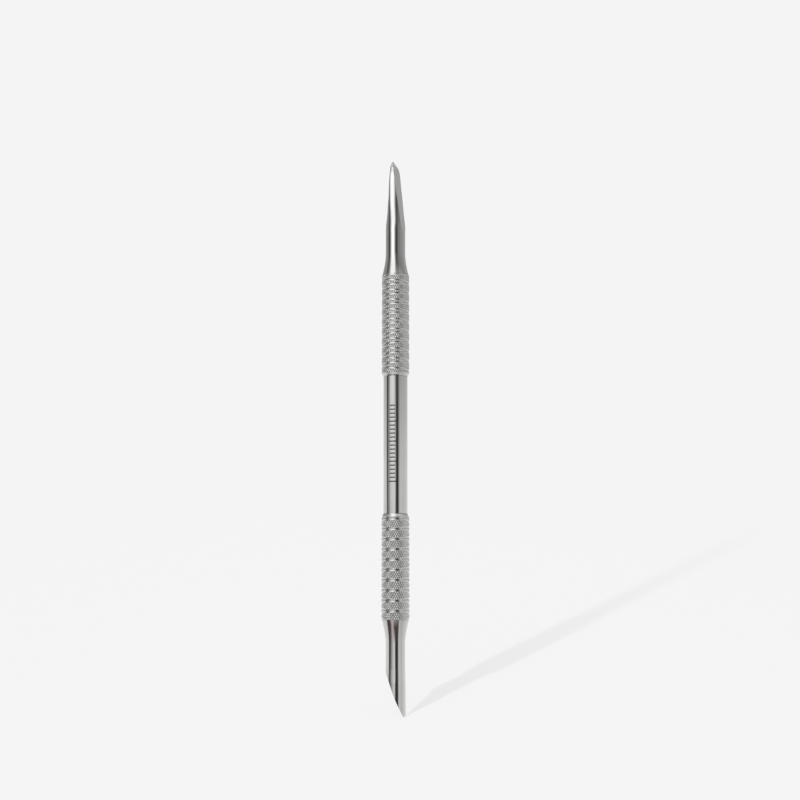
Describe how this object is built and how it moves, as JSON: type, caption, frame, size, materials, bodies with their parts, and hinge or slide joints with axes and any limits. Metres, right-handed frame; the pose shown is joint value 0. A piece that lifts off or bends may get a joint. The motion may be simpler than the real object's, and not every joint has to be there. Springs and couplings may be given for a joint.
{
  "type": "cuticle pusher",
  "caption": "Slim double-ended steel cuticle pusher: smooth barrel between knurled grips, a flat-faced rounded pusher on one end and a hollow-ground scraping edge on the other.",
  "frame": {"origin": "on the tool's centre line, level with the tip of the lower working end", "axes": "+Z along the tool from the lower tip to the upper tip; the upper pusher's flat face looks towards +X and the lower hollow-ground face towards -X"},
  "size_m": [0.007, 0.007, 0.14],
  "materials": {
    "polished_barrel": "bright polished stainless steel",
    "knurled_grip": "finely knurled stainless steel, bright in the grooves",
    "polished_end": "polished stainless steel with ground faces"
  },
  "bodies": {
    "root": {"centre_barrel": "polished_barrel", "upper_grip": "knurled_grip", "lower_grip": "knurled_grip", "upper_working_end": "polished_end", "lower_working_end": "polished_end"}
  },
  "joints": []
}
